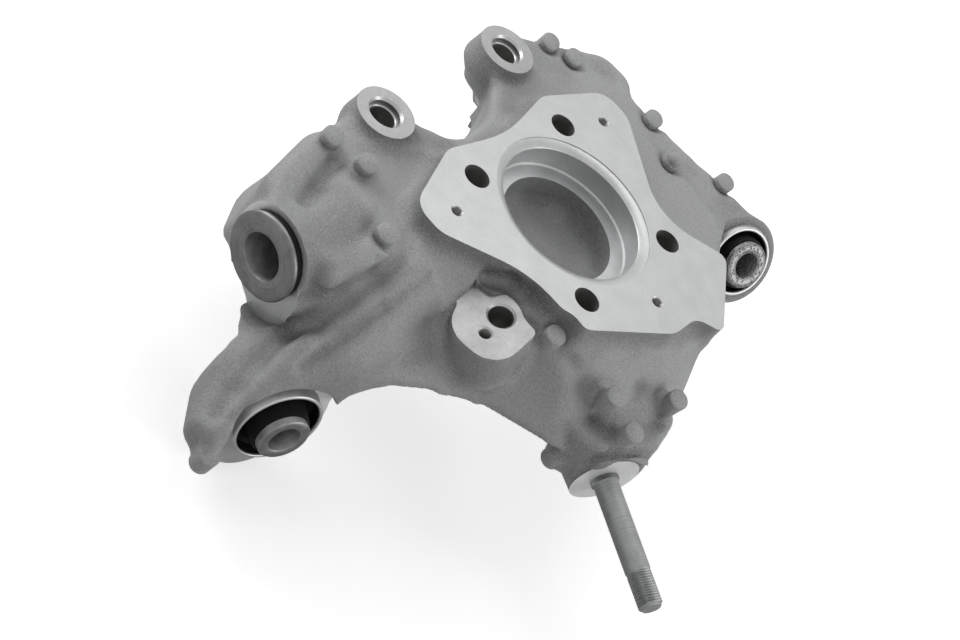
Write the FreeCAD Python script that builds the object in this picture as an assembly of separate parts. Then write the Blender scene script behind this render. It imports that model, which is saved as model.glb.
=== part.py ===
import FreeCAD, Part
import math
import os

# Steering knuckle for an independently sprung wheel, cast in aluminium and machined.
# Millimetres. The origin is the centre of the hub bore on the machined flange face,
# +Z points out of that face, towards the wheel, and the brake caliper ears lie at -X.

V = FreeCAD.Vector

# Hub flange and bore
flange_depth = 13.0
bore_r = 36.9
bore_chamfer_r = 40.7
bore_chamfer_depth = 2.6
bore_depth = 14.9
dish_r = 29.5
dish_depth = 33.0
dish_corner_r = 9.0
cup_wall = 9.0
hub_bolt_pcd = 104.5
hub_bolt_r = 6.5
bolt_boss_r = 12.5
bolt_boss_depth = 36.0
shield_screw_r = 2.5
shield_screw_depth = 12.0
shield_screw_chamfer = 0.9
shield_side_x = -28.3
shield_side_y = 63.3
shield_front_x = 56.7

# Body of the casting
plateau_z = -10.0
parting_z = -50.0
skin = 8.0
side_wall = 7.0
rib_width = 6.0
rib_depth = 30.0
rib_ends = [
    (-52, -98), (-84, -50), (-84, 50), (-60, 78), (-6, 100), (36, 104), (82, 6), (70, -20), (20, -62),
]

# Brake caliper ears
ear_x = -84.5
ear_pitch = 100.0
ear_z = -4.0
ear_r = 14.5
ear_bolt_r = 6.6
ear_counterbore_r = 7.9
ear_counterbore_depth = 3.5
ear_chamfer = 1.0
ear_flare = 2.5
ear_foot_r = 11.0
ear_foot_step = 12.0
ear_depth = 13.0
ear_thickness = 25.0
ear_spot_face_r = 11.5
ear_land_height = 1.5
ear_land_depth = 14.0
ear_lobe_at = V(-66.5, -36.0, -8.0)
ear_lobe_r = 8.5
ear_lobe_depth = 18.0

# Wheel speed sensor pad
pad_at = V(19.0, -73.0, -12.5)
pad_normal = V(-0.2, -0.25, 0.95)
pad_thickness = 24.0
sensor_r = 5.9
sensor_screw_r = 3.0
sensor_screw_step = V(1.4, -12.3, 0.0)
sensor_screw_depth = 14.0

# Lower arm, which falls from the flange to the lower bush
arm_root_y = -88.0
arm_length = 100.0
arm_tip_past_eye = 31.0

# Valleys beside the arm's crest and beside the ridge under the front ear: start, end, radius
valleys = [
    (V(-12.5, -88.0, -5.0), V(-16.0, -160.0, -43.5), 5.0),
    (V(-77.5, -85.0, -5.5), V(-70.0, -122.0, -5.0), 6.0),
]

# Half-round ridge along the caliper side, from the front ear to the front bush
ridge_start = V(-86.5, -85.0, -18.0)
ridge_end = V(-79.0, -121.0, -19.5)
ridge_r = 9.0

# Link bushes: centre of the visible sleeve end, and the axis out of the casting
front_at = V(-62.0, -144.0, -29.0)
front_axis = V(-0.17, -0.985, -0.03)
lower_at = V(-0.3, arm_root_y - arm_length + arm_tip_past_eye, -77.7)
lower_axis = V(0.885, -0.44, 0.14)
upper_at = V(67.9, 100.7, -20.4)
upper_axis = V(0.69, -0.45, 0.56)
rear_at = V(-83.0, 103.0, -38.0)
rear_axis = V(-0.8, 0.58, 0.15)
eye_wall = 4.8
eye_flare = 0.8
end_room = 5.0
rubber_dip = 3.0

# Front link bush: a washer face turned on its inner sleeve, and rubber up to that washer
front_bore_r = 10.5
front_sleeve_r = 14.0
front_outer_r = 18.2
front_outer_wall = 1.8
front_proud = 6.0
front_stand = 0.0
front_eye_length = 44.0
front_eye_wall = 3.4
front_washer_r = 20.0
front_washer_thickness = 2.5
front_collar_r = 19.3

# Lower link bush
lower_bore_r = 7.1
lower_sleeve_r = 12.0
lower_outer_r = 20.7
lower_outer_wall = 1.75
lower_proud = 6.8
lower_stand = 6.0
lower_eye_length = 22.0

# Upper link bush
upper_bore_r = 6.5
upper_sleeve_r = 12.0
upper_outer_r = 18.3
upper_outer_wall = 2.0
upper_proud = 5.5
upper_stand = 3.0
upper_eye_length = 34.0

# Rear link bush: its rubber folds over the rim of the outer sleeve
rear_bore_r = 6.5
rear_sleeve_r = 11.5
rear_outer_r = 17.5
rear_outer_wall = 1.8
rear_proud = 5.0
rear_stand = 2.0
rear_eye_length = 26.0
rear_collar_r = 19.0
rear_collar_depth = 3.0

# Thickening of the casting beside the front and lower bushes
front_lobe_r = 17.5
front_lobe_step = V(6.0, 0.0, -12.5)
lower_lobe_r = 18.5
lower_lobe_step = V(-1.5, -6.0, -13.5)

# Link stud
stud_at = V(101.0, -39.0, -61.0)
stud_axis = V(0.87, -0.494, -0.011)
stud_boss_r = 17.0
stud_boss_length = 34.0
stud_r = 5.95
stud_length = 65.4
stud_thread_length = 18.0
stud_thread_relief = 0.25
stud_neck_r = 6.45
stud_neck_out = 2.0
stud_tip_chamfer = 1.2
stud_head_r = 9.5
stud_head_depth = 5.0

# Ejector pin bosses left by the casting die
draw_axis = V(0.15, -0.18, 0.97)
pin_r = 5.0


def unit(direction):
    """The direction with length one."""
    return V(direction).normalize()


def along(point, direction, distance):
    """The point moved by a distance along a direction."""
    return point + unit(direction) * distance


def cylinder(start, direction, radius, length):
    return Part.makeCylinder(radius, length, start, unit(direction))


def cone(start, direction, start_r, end_r, length):
    return Part.makeCone(start_r, end_r, length, start, unit(direction))


def tube(start, direction, outer_r, inner_r, length):
    outer = cylinder(start, direction, outer_r, length)
    return outer.cut(cylinder(start, direction, inner_r, length))


def turned(start, direction, profile):
    """Solid of revolution about an axis: the profile is a list of (radius, distance along)."""
    points = [V(radius, 0, distance) for radius, distance in profile]
    wire = Part.makePolygon(points + [points[0]])
    solid = Part.Face(wire).revolve(V(0, 0, 0), V(0, 0, 1), 360)
    solid.Placement = FreeCAD.Placement(start, FreeCAD.Rotation(V(0, 0, 1), unit(direction)))
    return solid


def rounded_outline(corners, z):
    """Level closed wire through (x, y, radius) corners, each rounded by a tangent arc."""
    count = len(corners)
    ends = []
    edges = []
    for index, (x, y, radius) in enumerate(corners):
        here = V(x, y, z)
        before = V(corners[index - 1][0], corners[index - 1][1], z)
        after = V(corners[(index + 1) % count][0], corners[(index + 1) % count][1], z)
        back = unit(before - here)
        ahead = unit(after - here)
        half = back.getAngle(ahead) / 2
        longest = 0.48 * min((before - here).Length, (after - here).Length)
        reach = min(radius / math.tan(half), longest)
        arc_r = reach * math.tan(half)
        middle = along(here, back + ahead, arc_r / math.sin(half) - arc_r)
        start = here + back * reach
        end = here + ahead * reach
        edges.append(Part.Arc(start, middle, end).toShape())
        ends.append((start, end))
    sides = []
    for index in range(count):
        sides.append(edges[index])
        sides.append(Part.makeLine(ends[index][1], ends[(index + 1) % count][0]))
    return Part.Wire(sides)


def prism(corners, z_top, z_low):
    """Upright solid between two levels."""
    face = Part.Face(rounded_outline(corners, z_low))
    return face.extrude(V(0, 0, z_top - z_low))


def loft(*wires):
    return Part.makeLoft(list(wires), True, True)


def flange_outline():
    """The machined face: two lobes at the caliper side, a broad corner at the other."""
    screw_x = shield_side_x
    screw_y = shield_side_y
    front_x = shield_front_x
    return [
        (-54.5, 40, 14), (-47, 0, 80), (-54.5, -40, 14),
        (screw_x - 12.2, -screw_y - 17.7, 13), (screw_x + 4.3, -screw_y - 17.7, 10),
        (13.6, -54, 60), (46, -54, 12), (front_x + 16.5, -6, 14),
        (front_x + 16.8, 14, 8), (front_x + 30.3, 21.5, 1), (60, 64, 1.5),
        (25.4, 44.7, 40), (screw_x + 4.3, screw_y + 17.7, 10), (screw_x - 12.2, screw_y + 17.7, 13),
    ]


def body_outlines():
    """The body at its upper shoulder and at the parting line, corner for corner."""
    ear_y = ear_pitch / 2
    face = along(front_at, front_axis, -6)
    pairs = [
        ((84, 20, 6), (100, 16, 10)),
        ((62, 63, 5), (80, 56, 10)),
        ((52, 86, 10), (62, 84, 12)),
        ((55, 108, 8), (58, 114, 10)),
        ((44, 120, 10), (46, 129, 12)),
        ((-33, 110, 22), (-33, 119, 22)),
        ((-41, 121, 10), (-42, 129, 12)),
        ((-61, 119, 12), (-63, 127, 12)),
        ((-80, 86, 14), (-84, 92, 14)),
        ((ear_x - 13, ear_y + 18, 10), (ear_x - 11, ear_y + 24, 12)),
        ((ear_x - 13, ear_y - 12, 12), (ear_x + 2, ear_y + 10, 10)),
        ((ear_x + 8, ear_y - 16, 10), (ear_x + 14, ear_y - 2, 10)),
        ((-60, 12, 24), (-68, 30, 20)),
        ((-57, -12, 24), (-65, -4, 20)),
        ((ear_x + 12, 16 - ear_y, 10), (ear_x + 6, 18 - ear_y, 10)),
        ((ear_x - 11, 14 - ear_y, 12), (ear_x - 16, 14 - ear_y, 12)),
        ((face.x - 32, face.y + 63, 40), (face.x - 39, face.y + 63, 40)),
        ((face.x - 27, face.y + 28, 40), (face.x - 37, face.y + 28, 40)),
        ((face.x - 18, face.y + 2, 16), (face.x - 24, face.y + 2, 12)),
        ((face.x + 22, face.y + 2, 8), (face.x + 24, face.y + 2, 8)),
        ((-24, -100, 10), (-22, -112, 12)),
        ((-14, -80, 16), (9.5, -124, 10)),
        ((14, -59, 20), (34, -86, 30)),
        ((50, -56, 14), (76, -64, 14)),
        ((76, -6, 16), (106, -26, 12)),
    ]
    upper = [pair[0] for pair in pairs]
    lower = [pair[1] for pair in pairs]
    return upper, lower


def bush(at, axis, bore_r, sleeve_r, outer_r, wall, proud, stand, eye_length, around=eye_wall):
    """A bush as its sizes: what the casting and the three pieces of the bush all share."""
    outer_length = eye_length + 2 * stand
    return {
        "axis": unit(axis), "bore": bore_r, "sleeve": sleeve_r, "outer": outer_r, "inside": outer_r - wall,
        "proud": proud, "stand": stand, "eye": outer_r + around,
        "sleeve_end": at, "sleeve_length": outer_length + 2 * proud,
        "rim": along(at, axis, -proud), "outer_length": outer_length,
        "eye_face": along(at, axis, -proud - stand), "eye_length": eye_length,
    }


def link_bushes():
    """The four bushes by name."""
    return {
        "front_link_bush": bush(
            front_at, front_axis, front_bore_r, front_sleeve_r, front_outer_r,
            front_outer_wall, front_proud, front_stand, front_eye_length, front_eye_wall),
        "lower_link_bush": bush(
            lower_at, lower_axis, lower_bore_r, lower_sleeve_r, lower_outer_r,
            lower_outer_wall, lower_proud, lower_stand, lower_eye_length),
        "upper_link_bush": bush(
            upper_at, upper_axis, upper_bore_r, upper_sleeve_r, upper_outer_r,
            upper_outer_wall, upper_proud, upper_stand, upper_eye_length),
        "rear_link_bush": bush(
            rear_at, rear_axis, rear_bore_r, rear_sleeve_r, rear_outer_r,
            rear_outer_wall, rear_proud, rear_stand, rear_eye_length),
    }


bushes = link_bushes()


def eye(sizes):
    """The cast eye round a bush, a little wider at its root."""
    back = -sizes["axis"]
    return cone(sizes["eye_face"], back, sizes["eye"], sizes["eye"] + eye_flare, sizes["eye_length"])


def pins():
    """Ejector pin bosses: (x, y, top, length) each, standing along the draw of the die."""
    places = [
        (-86.0, -87.0, -3.5, 18.0), (-67.5, -82.0, -3.5, 18.0), (-36.6, -102.0, -4.0, 40.0),
        (-79.0, 88.0, -8.0, 22.0), (-66.0, 94.5, -8.0, 22.0), (-18.0, 110.0, -8.0, 22.0),
        (29.2, 119.0, -8.0, 22.0), (40.4, -57.7, -9.0, 28.0), (94.6, -44.0, -24.0, 22.0),
        (96.2, -10.0, -20.0, 22.0), (79.2, -55.8, -55.0, 10.0), (-73.5, 49.0, -42.0, 8.0),
        (-14.0, arm_root_y - arm_length, -84.0, 12.0), (5.0, 98.0, -8.5, 6.0), (77.5, -46.0, -16.0, 12.0),
    ]
    solids = []
    for x, y, top, length in places:
        solids.append(cylinder(V(x, y, top), V(0, 0, 0) - draw_axis, pin_r, length))
    return solids


def hub_cup():
    """Closed cup behind the hub bore."""
    outer_r = bore_r + cup_wall
    inner_r = dish_r + cup_wall
    depth = dish_depth + cup_wall
    waist = bore_depth + cup_wall
    profile = [
        (0, -1), (outer_r, -1), (outer_r, -waist), (inner_r, -waist - 6),
        (inner_r, -depth + 8), (inner_r - 8, -depth), (0, -depth),
    ]
    return turned(V(0, 0, 0), V(0, 0, 1), profile)


def hub_bore():
    """The space inside the cup: chamfer, bearing seat, shoulder and the cast dish."""
    corner = dish_corner_r
    points = [
        V(0, 0, 1), V(bore_chamfer_r + 1, 0, 1), V(bore_r, 0, -bore_chamfer_depth),
        V(bore_r, 0, -bore_depth), V(dish_r, 0, -bore_depth), V(dish_r, 0, corner - dish_depth),
    ]
    low = V(dish_r - corner, 0, -dish_depth)
    bend = V(dish_r - corner * (1 - math.sqrt(0.5)), 0, corner * (1 - math.sqrt(0.5)) - dish_depth)
    edges = [Part.makeLine(points[i], points[i + 1]) for i in range(len(points) - 1)]
    edges.append(Part.Arc(points[-1], bend, low).toShape())
    edges.append(Part.makeLine(low, V(0, 0, -dish_depth)))
    edges.append(Part.makeLine(V(0, 0, -dish_depth), points[0]))
    return Part.Face(Part.Wire(edges)).revolve(V(0, 0, 0), V(0, 0, 1), 360)


def hub_bolts():
    side = hub_bolt_pcd / 2 * math.sqrt(0.5)
    return [V(side, side, 0), V(-side, side, 0), V(-side, -side, 0), V(side, -side, 0)]


def shield_screws():
    return [
        V(shield_side_x, shield_side_y, 0), V(shield_side_x, -shield_side_y, 0),
        V(shield_front_x, 0, 0),
    ]


def ears():
    return [V(ear_x, -ear_pitch / 2, ear_z), V(ear_x, ear_pitch / 2, ear_z)]


def ear_lugs():
    """Each ear is a short round lug, wider below, whose underside runs in towards the body."""
    solids = []
    for ear in ears():
        side = math.copysign(ear_foot_step, ear.y)
        lug = cone(ear, V(0, 0, -1), ear_r, ear_r + ear_flare, ear_depth)
        rim = Part.Wire(Part.makeCircle(ear_r + ear_flare, ear - V(0, 0, ear_depth)))
        foot = Part.Wire(Part.makeCircle(ear_foot_r, V(ear.x + ear_foot_step, ear.y + side, parting_z)))
        solids.append(lug)
        solids.append(loft(rim, foot))
    return solids


def ear_land():
    """Land between the front ear and the plateau, with a round lobe at its inner end."""
    corners = [
        (-95, -44, 6), (-91, -66, 8), (-80, -76, 6), (-69, -59, 8),
        (-57, -38, 8), (-56, -26, 6), (-68, -27, 8), (-80, -38, 6),
    ]
    land = prism(corners, plateau_z + ear_land_height, plateau_z - ear_land_depth)
    return [land, cylinder(ear_lobe_at, V(0, 0, -1), ear_lobe_r, ear_lobe_depth)]


def side_ridge():
    """Half-round ridge with a ball end under the front ear."""
    run = ridge_end - ridge_start
    return [cylinder(ridge_start, run, ridge_r, run.Length), Part.makeSphere(ridge_r, ridge_start)]


def across(share, corners):
    """Closed wire of (x, z, radius) corners that stands across the lower arm."""
    place = V(0, arm_root_y - share * arm_length, 0)
    upright = FreeCAD.Placement(place, FreeCAD.Rotation(V(1, 0, 0), 90))
    return rounded_outline(corners, 0).transformed(upright.Matrix)


def lower_arm():
    """The arm that falls from the flange to the eye of the lower bush, with a crest along its top."""
    return loft(
        across(0, [
            (-56, -58, 10), (8, -58, 8), (10, -40, 12), (-8, -10, 8), (-24, -9, 8), (-50, -12, 6), (-56, -24, 8)]),
        across(0.28, [
            (-56, -66, 10), (10, -60, 8), (2, -34, 12), (-12, -19, 8), (-24, -18, 8), (-44, -32, 6), (-57, -44, 8)]),
        across(0.52, [
            (-53, -84, 10), (0, -66, 8), (-2, -44, 12), (-16, -32, 10), (-27, -32, 10), (-38, -46, 6), (-53, -58, 8)]),
        across(0.78, [
            (-45, -99, 10), (-18, -98, 8), (-12, -68, 10), (-16, -54, 8), (-24, -53, 8), (-33, -63, 5), (-44, -69, 8)]),
        across(1, [
            (-30, -91, 6), (-16, -94, 6), (-13, -86, 5), (-17, -78, 4), (-21, -76, 3), (-25, -76, 3), (-30, -81, 5)]))


def arm_valleys():
    """Shallow valleys, as a ball-nosed cutter leaves them."""
    return [cylinder(start, end - start, radius, (end - start).Length) for start, end, radius in valleys]


def front_lobe():
    """Corner of the machined pad that reaches past the washer of the front bush."""
    sizes = bushes["front_link_bush"]
    centre = sizes["eye_face"] + front_lobe_step
    return cylinder(centre, -sizes["axis"], front_lobe_r, sizes["eye_length"])


def stud_skirt():
    """The front wall runs deeper beside the stud boss."""
    corners = [(72, -61, 8), (93, -54, 6), (108, -26, 6), (102, 2, 10), (84, 2, 8), (70, -30, 8)]
    return prism(corners, parting_z + 14, stud_at.z - 3)


def lower_lobe():
    """Thickening under the lower eye, where its machined end face is widest."""
    sizes = bushes["lower_link_bush"]
    centre = sizes["eye_face"] + lower_lobe_step
    return cylinder(centre, -sizes["axis"], lower_lobe_r, sizes["eye_length"])


def on_pad(solid):
    """Moves a solid from the pad's own axes to its place on the body."""
    tilt = FreeCAD.Rotation(V(0, 0, 1), unit(pad_normal))
    return solid.transformed(FreeCAD.Placement(pad_at, tilt).Matrix)


def sensor_pad():
    """Raised pad with its own machined face, leaning out of the flange's plane."""
    left, low = sensor_screw_step.x - 16.0, sensor_screw_step.y - 11.9
    outline = [
        (-17, 3, 1), (left, low, 15), (17.8, low, 13), (16.5, 6, 1),
        (8, 6.6, 6), (3, 10.3, 5), (-6, 9.8, 5), (-9.5, 3.5, 4),
    ]
    return on_pad(prism(outline, 0, -pad_thickness))


def stud_boss():
    back = V(0, 0, 0) - unit(stud_axis)
    return cone(stud_at, back, stud_boss_r, stud_boss_r + 2, stud_boss_length)


def inset(corners, wall):
    """The corners moved inwards by a wall, each radius following."""
    count = len(corners)
    moved = []
    for index, (x, y, radius) in enumerate(corners):
        here = V(x, y, 0)
        back = unit(V(corners[index - 1][0], corners[index - 1][1], 0) - here)
        after = corners[(index + 1) % count]
        ahead = unit(V(after[0], after[1], 0) - here)
        half = back.getAngle(ahead) / 2
        turn = back.cross(ahead).z
        side = -1 if turn > 0 else 1
        spot = along(here, back + ahead, side * wall / math.sin(half))
        moved.append((spot.x, spot.y, max(radius - side * wall, 2.0)))
    return moved


def hollow():
    """The open back of the body: an even wall is left at the sides and under the plateau."""
    upper, lower = body_outlines()
    top = rounded_outline(inset(upper, side_wall), plateau_z - skin)
    return loft(top, rounded_outline(inset(lower, side_wall), parting_z - 1))


def arm_hollow():
    """The lower arm is a channel, open below."""
    wires = []
    for share, left, right, top in [(-0.08, -46, -4, -19), (0.24, -46, -6, -32), (0.38, -44, -12, -42)]:
        wires.append(across(share, [(left, -120, 2), (right, -120, 2), (right, top, 8), (left, top, 8)]))
    return loft(*wires)


def rib(end_x, end_y):
    """Upright rib from the hub cup to a point of the body."""
    length = math.hypot(end_x, end_y)
    start = dish_r + cup_wall - 3
    depth = plateau_z - 3 - rib_depth
    solid = Part.makeBox(length - start, rib_width, rib_depth, V(start, -rib_width / 2, depth))
    return solid.rotated(V(0, 0, 0), V(0, 0, 1), math.degrees(math.atan2(end_y, end_x)))


def casting():
    """The knuckle body: one casting, machined where it meets other parts."""
    upper, lower = body_outlines()
    body = loft(rounded_outline(upper, plateau_z), rounded_outline(lower, parting_z))
    solids = [prism(flange_outline(), 0, -flange_depth), hub_cup(), lower_arm(), sensor_pad()]
    solids.extend([stud_boss(), stud_skirt(), front_lobe(), lower_lobe()])
    for sizes in bushes.values():
        solids.append(eye(sizes))
    solids.extend(ear_lugs() + ear_land() + side_ridge())
    for bolt in hub_bolts():
        solids.append(cylinder(bolt - V(0, 0, 1), V(0, 0, -1), bolt_boss_r, bolt_boss_depth - 1))
    solids.extend(pins())
    body = body.cut(hollow())
    for end_x, end_y in rib_ends:
        solids.append(rib(end_x, end_y))
    body = body.fuse(solids)
    cuts = [hub_bore(), arm_hollow()] + arm_valleys()
    for bolt in hub_bolts():
        cuts.append(cylinder(bolt + V(0, 0, 1), V(0, 0, -1), hub_bolt_r, 100))
    for screw in shield_screws():
        cuts.append(cylinder(screw + V(0, 0, 1), V(0, 0, -1), shield_screw_r, shield_screw_depth + 1))
        mouth = shield_screw_r + shield_screw_chamfer
        cuts.append(cone(screw, V(0, 0, -1), mouth, shield_screw_r, shield_screw_chamfer))
    for ear in ears():
        cuts.append(cylinder(ear + V(0, 0, 1), V(0, 0, -1), ear_bolt_r, 100))
        cuts.append(cylinder(ear + V(0, 0, 1), V(0, 0, -1), ear_counterbore_r, ear_counterbore_depth + 1))
        mouth = ear_counterbore_r + ear_chamfer
        cuts.append(cone(ear, V(0, 0, -1), mouth, ear_counterbore_r, ear_chamfer))
        underside = ear - V(0, 0, ear_thickness)
        cuts.append(cylinder(underside, V(0, 0, -1), ear_spot_face_r, 60))
    for sizes in bushes.values():
        back = -sizes["axis"]
        room_r = sizes["eye"] + eye_flare
        cuts.append(cylinder(sizes["eye_face"], sizes["axis"], room_r, 40))
        cuts.append(cylinder(sizes["eye_face"], back, sizes["outer"], sizes["eye_length"] + sizes["stand"]))
        far = along(sizes["rim"], back, sizes["outer_length"])
        cuts.append(cylinder(far, back, sizes["inside"], sizes["proud"] + end_room))
    cuts.append(on_pad(cylinder(V(0, 0, 1), V(0, 0, -1), sensor_r, 60)))
    screw_top = sensor_screw_step + V(0, 0, 1)
    cuts.append(on_pad(cylinder(screw_top, V(0, 0, -1), sensor_screw_r, sensor_screw_depth + 1)))
    cuts.append(cylinder(along(stud_at, stud_axis, 1), V(0, 0, 0) - unit(stud_axis), stud_neck_r, 120))
    return body.cut(Part.makeCompound(cuts)).removeSplitter()


def outer_sleeve(sizes):
    return tube(sizes["rim"], -sizes["axis"], sizes["outer"], sizes["inside"], sizes["outer_length"])


def inner_sleeve(sizes):
    return tube(sizes["sleeve_end"], -sizes["axis"], sizes["sleeve"], sizes["bore"], sizes["sleeve_length"])


def washer_sleeve(sizes):
    """Inner sleeve with a broad washer face turned on its outer end."""
    back = -sizes["axis"]
    washer = tube(sizes["sleeve_end"], back, front_washer_r, sizes["bore"], front_washer_thickness)
    return inner_sleeve(sizes).fuse(washer).removeSplitter()


def dished_end(sizes):
    """One end of the rubber, from the inner sleeve outwards: (radius, height over the rim)."""
    inner = sizes["sleeve"]
    outer = sizes["inside"]
    lip = sizes["proud"] / 2
    return [(inner, lip), ((inner + outer) / 2, -rubber_dip), (outer, -1)]


def collared_end(sizes, collar_r, collar_depth):
    """An end of the rubber that folds over the rim of the outer sleeve."""
    return [
        (sizes["sleeve"], collar_depth), (collar_r - 1, collar_depth), (collar_r, collar_depth - 1),
        (collar_r, 0), (sizes["inside"], 0),
    ]


def rubber(name, sizes):
    """Rubber between the two sleeves: dished ends, or a collar at the end that shows."""
    near = dished_end(sizes)
    if name == "front_link_bush":
        near = collared_end(sizes, front_collar_r, front_proud - front_washer_thickness)
    if name == "rear_link_bush":
        near = collared_end(sizes, rear_collar_r, rear_collar_depth)
    far = [(radius, -sizes["outer_length"] - height) for radius, height in dished_end(sizes)]
    return turned(sizes["rim"], sizes["axis"], near + far[::-1])


def stud():
    """Link stud: head behind the boss, serrated neck pressed into it, and a threaded end."""
    buried = stud_boss_length
    tip = stud_length
    thread_r = stud_r - stud_thread_relief
    profile = [
        (0, -buried - stud_head_depth), (stud_head_r, -buried - stud_head_depth),
        (stud_head_r, -buried), (stud_neck_r, -buried), (stud_neck_r, stud_neck_out),
        (stud_r, stud_neck_out + 1), (stud_r, tip - stud_thread_length),
        (thread_r, tip - stud_thread_length + 1), (thread_r, tip - stud_tip_chamfer),
        (thread_r - stud_tip_chamfer, tip), (0, tip),
    ]
    return turned(stud_at, stud_axis, profile)


def save(name, shape):
    shape.exportStep("parts/" + name + ".step")


os.makedirs("parts", exist_ok=True)
save("knuckle_casting", casting())
for name, sizes in bushes.items():
    save(name + "_outer_sleeve", outer_sleeve(sizes))
    save(name + "_rubber", rubber(name, sizes))
    sleeve = washer_sleeve if name == "front_link_bush" else inner_sleeve
    save(name + "_inner_sleeve", sleeve(sizes))
save("link_stud", stud())
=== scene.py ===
import math

import bmesh
import bpy
import numpy as np
import openvdb as vdb
from mathutils import Matrix, Vector


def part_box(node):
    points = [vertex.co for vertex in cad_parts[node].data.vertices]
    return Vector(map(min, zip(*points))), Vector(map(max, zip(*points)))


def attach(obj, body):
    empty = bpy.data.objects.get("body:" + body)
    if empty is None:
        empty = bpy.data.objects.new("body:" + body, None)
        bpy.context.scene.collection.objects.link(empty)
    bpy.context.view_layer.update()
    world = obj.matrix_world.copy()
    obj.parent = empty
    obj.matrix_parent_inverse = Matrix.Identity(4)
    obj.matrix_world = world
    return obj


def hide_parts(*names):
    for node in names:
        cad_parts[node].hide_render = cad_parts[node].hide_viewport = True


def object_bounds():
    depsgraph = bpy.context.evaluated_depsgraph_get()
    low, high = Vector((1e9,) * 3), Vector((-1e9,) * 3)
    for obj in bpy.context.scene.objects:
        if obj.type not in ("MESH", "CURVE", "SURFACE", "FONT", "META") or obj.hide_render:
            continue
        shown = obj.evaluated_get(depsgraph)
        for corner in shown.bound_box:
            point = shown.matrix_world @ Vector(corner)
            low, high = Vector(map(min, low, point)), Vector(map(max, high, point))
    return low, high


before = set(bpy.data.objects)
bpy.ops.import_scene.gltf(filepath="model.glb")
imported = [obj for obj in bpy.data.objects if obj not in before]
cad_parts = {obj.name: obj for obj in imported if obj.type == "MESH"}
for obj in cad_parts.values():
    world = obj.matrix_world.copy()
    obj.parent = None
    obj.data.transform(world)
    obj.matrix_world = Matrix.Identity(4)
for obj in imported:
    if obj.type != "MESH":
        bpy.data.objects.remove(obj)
cad_low, cad_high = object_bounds()

# Cast and machined looks for the steering knuckle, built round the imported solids.
# Lengths are millimetres in the row frame, and MM turns them into metres.
MM = 0.001

# Camera, found from the flange's holes and bore as the photograph shows them
camera_at = Vector((107.59, -741.18, 567.08))
camera_right = Vector((0.6574, 0.5489, 0.5163))
camera_up = Vector((-0.7462, 0.3787, 0.5475))
camera_back = Vector((0.105, -0.7452, 0.6586))
sensor_width = 36.0
focal_length = 76.83

# Hub flange and bore
flange_r = 110.0
bore_r = 36.9
bore_chamfer_r = 40.7
bore_chamfer_depth = 2.6
bore_depth = 14.9
dish_r = 29.5
hub_bolt_pcd = 104.5
hub_bolt_r = 6.5
bolt_boss_depth = 36.0
bolt_spot_face_r = 11.5
shield_screws = [(-28.3, 63.3), (-28.3, -63.3), (56.7, 0.0)]
shield_screw_r = 2.5
shield_screw_depth = 12.0
shield_thread_r = 2.95
thread_pitch = 1.0

# Brake caliper ears
ears = [(-84.5, -50.0), (-84.5, 50.0)]
ear_z = -4.0
ear_r = 14.5
ear_bolt_r = 6.6
ear_counterbore_r = 7.9
ear_counterbore_depth = 3.5
ear_thickness = 25.0
ear_spot_face_r = 11.5

# Wheel speed sensor pad
pad_at = Vector((19.0, -73.0, -12.5))
pad_normal = Vector((-0.2, -0.25, 0.95)).normalized()
pad_tilt = Vector((0, 0, 1)).rotation_difference(pad_normal)
sensor_r = 5.9
sensor_screw_r = 3.0
sensor_screw_core_r = 2.55
sensor_screw_step = Vector((1.4, -12.3, 0.0))
sensor_screw_depth = 14.0
pad_outline = [
    (-17.0, 3.0, 1.0), (-14.6, -24.2, 15.0), (17.8, -24.2, 13.0), (16.5, 6.0, 1.0),
    (8.0, 6.6, 6.0), (3.0, 10.3, 5.0), (-6.0, 9.8, 5.0), (-9.5, 3.5, 4.0),
]

# Link bushes: visible sleeve end, axis, bore, inner sleeve, outer sleeve and its wall,
# how far the inner and the outer sleeve stand out, length of the eye, cast wall around it
bushes = {
    "front_link_bush": dict(
        at=(-62.0, -144.0, -29.0), axis=(-0.17, -0.985, -0.03), bore=10.5, sleeve=14.0,
        outer=18.2, wall=1.8, proud=6.0, stand=0.0, eye=44.0, around=3.4),
    "lower_link_bush": dict(
        at=(-0.3, -157.0, -77.7), axis=(0.885, -0.44, 0.14), bore=7.1, sleeve=12.0,
        outer=20.7, wall=1.75, proud=6.8, stand=6.0, eye=22.0, around=4.8),
    "upper_link_bush": dict(
        at=(67.9, 100.7, -20.4), axis=(0.69, -0.45, 0.56), bore=6.5, sleeve=12.0,
        outer=18.3, wall=2.0, proud=5.5, stand=3.0, eye=34.0, around=4.8),
    "rear_link_bush": dict(
        at=(-83.0, 103.0, -38.0), axis=(-0.8, 0.58, 0.15), bore=6.5, sleeve=11.5,
        outer=17.5, wall=1.8, proud=5.0, stand=2.0, eye=26.0, around=4.8),
}
eye_flare = 0.8
end_room = 5.0
front_washer_r = 20.0
front_washer_thickness = 2.5
front_collar_r = 19.3
rear_collar_r = 19.0
rear_collar_depth = 3.0

# Corners of machined faces that reach past their bush: step from the bush axis, radius
lobes = {
    "front_link_bush": ((6.0, 0.0, -12.5), 17.5),
    "lower_link_bush": ((-1.5, -6.0, -13.5), 18.5),
}

# Link stud
stud_at = Vector((101.0, -39.0, -61.0))
stud_axis = Vector((0.87, -0.494, -0.011)).normalized()
stud_boss_r = 17.0
stud_boss_length = 34.0
stud_r = 5.95
stud_length = 65.4
stud_thread_length = 18.0
stud_neck_r = 6.45
stud_thread_pitch = 1.25

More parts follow.
